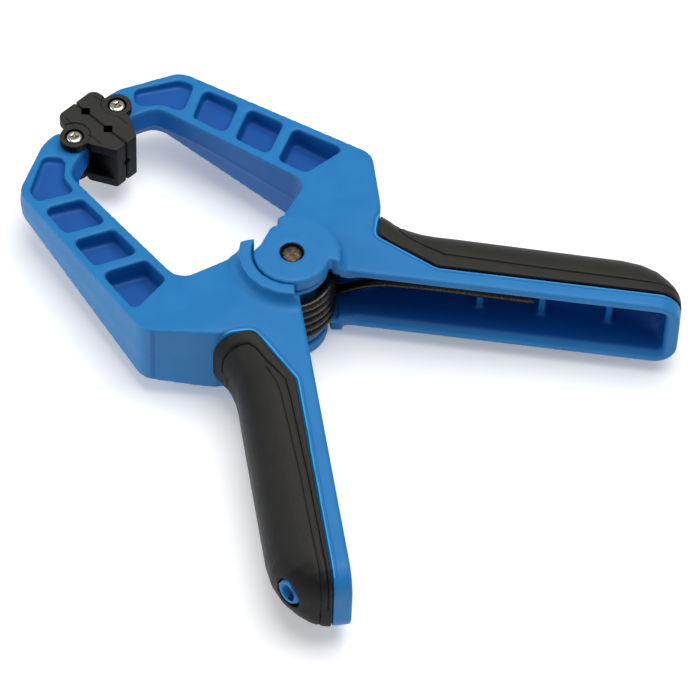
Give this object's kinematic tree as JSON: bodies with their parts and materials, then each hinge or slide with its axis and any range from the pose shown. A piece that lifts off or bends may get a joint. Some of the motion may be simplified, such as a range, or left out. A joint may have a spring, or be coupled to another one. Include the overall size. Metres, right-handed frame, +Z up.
{
  "type": "spring clamp",
  "caption": "Hand spring clamp: two bent arms on a rivet, held shut by a torsion spring, with soft grips and swivelling jaw pads.",
  "frame": {"origin": "under the middle of the clamp's outline, on the plane that its hub lies on", "axes": "+X from the jaws to the handles, +Z up along the rivet, +Y across the clamp to the rear arm"},
  "size_m": [0.211, 0.1814, 0.0418],
  "materials": {
    "blue_moulding": "satin moulded nylon",
    "soft_grip": "matt soft overmoulding",
    "black_pad": "matt",
    "nickel_steel": "bright nickel plate",
    "bronzed_steel": "brown oxidised steel",
    "spring_steel": "black oiled spring wire"
  },
  "bodies": {
    "front_side": {"front_arm": "blue_moulding", "front_grip": "soft_grip", "front_pad_screw": "nickel_steel", "front_pad_sleeve": "nickel_steel", "pivot_rivet": "bronzed_steel", "torsion_spring": "spring_steel"},
    "rear_side": {"rear_arm": "blue_moulding", "rear_grip": "soft_grip", "rear_pad_screw": "nickel_steel", "rear_pad_sleeve": "nickel_steel"},
    "front_pad": {"front_jaw_pad": "black_pad"},
    "rear_pad": {"rear_jaw_pad": "black_pad"}
  },
  "joints": [
    {"name": "jaw_hinge", "type": "hinge", "parent": "front_side", "child": "rear_side", "pos_m": [-0.00013, 0, 0.0209], "axis": [0, 0, -1], "range_deg": [0, 60], "stiffness_Nm_per_rad": 6, "springref_deg": -57.3, "deforming": ["torsion_spring"]},
    {"name": "front_pad_swivel", "type": "hinge", "parent": "front_side", "child": "front_pad", "pos_m": [-0.09513, -0.0102, 0.0209], "axis": [0, 0, -1], "range_deg": [0, 30]},
    {"name": "rear_pad_swivel", "type": "hinge", "parent": "rear_side", "child": "rear_pad", "pos_m": [-0.09513, 0.0102, 0.0209], "axis": [0, 0, 1], "range_deg": [0, 30]}
  ],
  "couplings": [
    {"joint": "front_pad_swivel", "follows": "jaw_hinge", "ratio": 0.5},
    {"joint": "rear_pad_swivel", "follows": "jaw_hinge", "ratio": 0.5}
  ]
}
